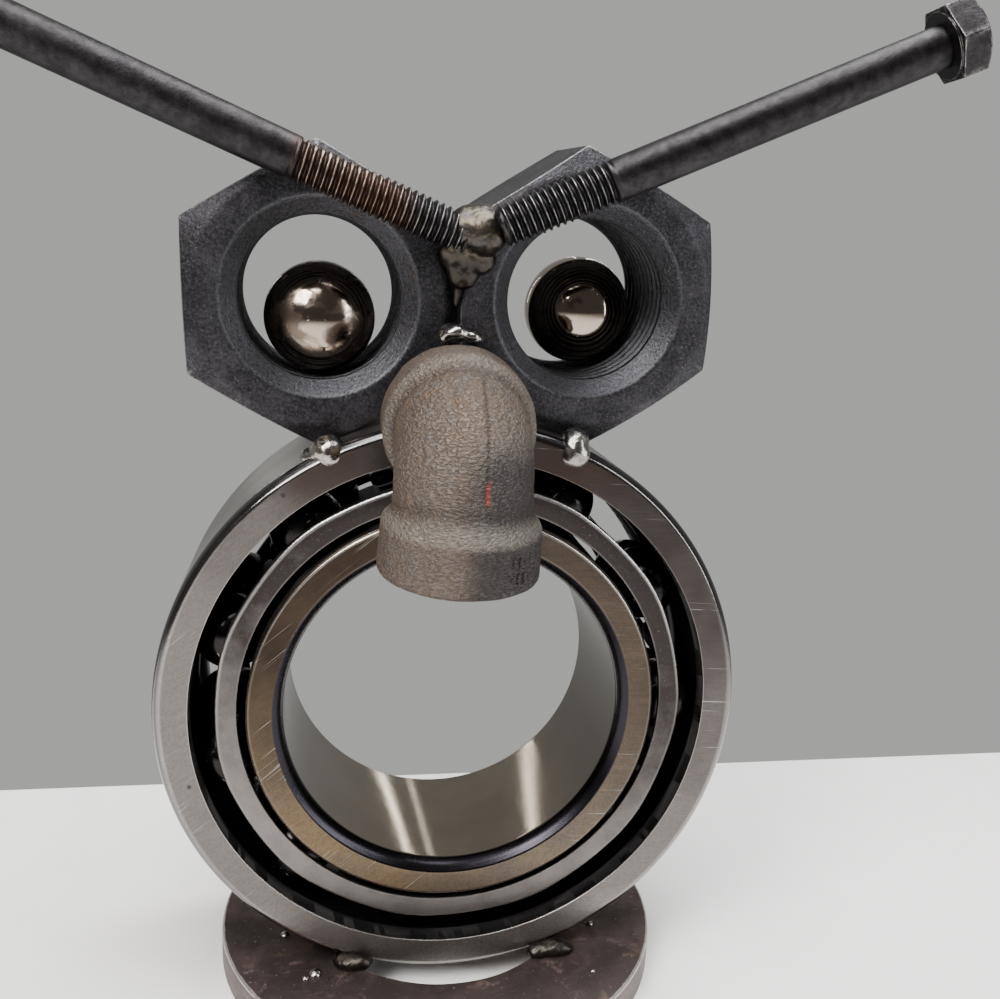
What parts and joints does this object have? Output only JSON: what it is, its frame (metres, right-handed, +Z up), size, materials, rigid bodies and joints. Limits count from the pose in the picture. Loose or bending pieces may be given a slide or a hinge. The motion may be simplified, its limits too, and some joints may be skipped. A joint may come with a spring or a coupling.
{
  "type": "welded metal owl sculpture",
  "caption": "Small welded owl: a ball bearing body on a washer, hexagon nut eyes with ball pupils, a pipe elbow beak and long bolts as horns.",
  "frame": {"origin": "on the surface the washer stands on, under the centre of the bounding box", "axes": "+Z up, the owl looks along -Y, +X to the viewer's right; the bearing's axis runs along Y"},
  "size_m": [0.2024, 0.1134, 0.2216],
  "materials": {
    "dark_washer": "dark oxide with brown tints and specks",
    "ring_steel": "ground steel with a heat tint",
    "race_steel": "ground steel, straw and bronze tint",
    "cage_steel": "pressed steel, satin",
    "ball_steel": "mirror polish",
    "black_oxide_nut": "black oxide, satin with specks",
    "forged_iron": "forged skin, pebbled, with rust tint",
    "bolt_steel": "dark oxide, crests worn bright",
    "weld_metal": "bright weld with straw and blue tints"
  },
  "bodies": {
    "frame": {"base_washer": "dark_washer", "outer_ring": "ring_steel", "left_nut": "black_oxide_nut", "right_nut": "black_oxide_nut", "left_eye": "ball_steel", "right_eye": "ball_steel", "beak_elbow": "forged_iron", "left_bolt": "bolt_steel", "right_bolt": "bolt_steel", "weld_horns": "weld_metal", "weld_beak": "weld_metal", "weld_nut_left": "weld_metal", "weld_nut_right": "weld_metal", "weld_base_left": "weld_metal", "weld_base_right": "weld_metal"},
    "race": {"inner_ring": "race_steel"},
    "rolling": {"cage_front": "cage_steel", "cage_back": "cage_steel", "ball_front_01": "ball_steel", "ball_front_02": "ball_steel", "ball_front_03": "ball_steel", "ball_front_04": "ball_steel", "ball_front_05": "ball_steel", "ball_front_06": "ball_steel", "ball_front_07": "ball_steel", "ball_front_08": "ball_steel", "ball_front_09": "ball_steel", "ball_front_10": "ball_steel", "ball_front_11": "ball_steel", "ball_back_01": "ball_steel", "ball_back_02": "ball_steel", "ball_back_03": "ball_steel", "ball_back_04": "ball_steel", "ball_back_05": "ball_steel", "ball_back_06": "ball_steel", "ball_back_07": "ball_steel", "ball_back_08": "ball_steel", "ball_back_09": "ball_steel", "ball_back_10": "ball_steel", "ball_back_11": "ball_steel"}
  },
  "joints": [
    {"name": "race_spin", "type": "hinge", "parent": "frame", "child": "race", "pos_m": [0.00005, 0.00375, 0.0693], "axis": [0, 1, 0], "continuous": true},
    {"name": "rolling_spin", "type": "hinge", "parent": "frame", "child": "rolling", "pos_m": [0.00005, 0.00375, 0.0693], "axis": [0, 1, 0], "continuous": true}
  ],
  "couplings": [
    {"joint": "rolling_spin", "follows": "race_spin", "ratio": 0.415}
  ]
}
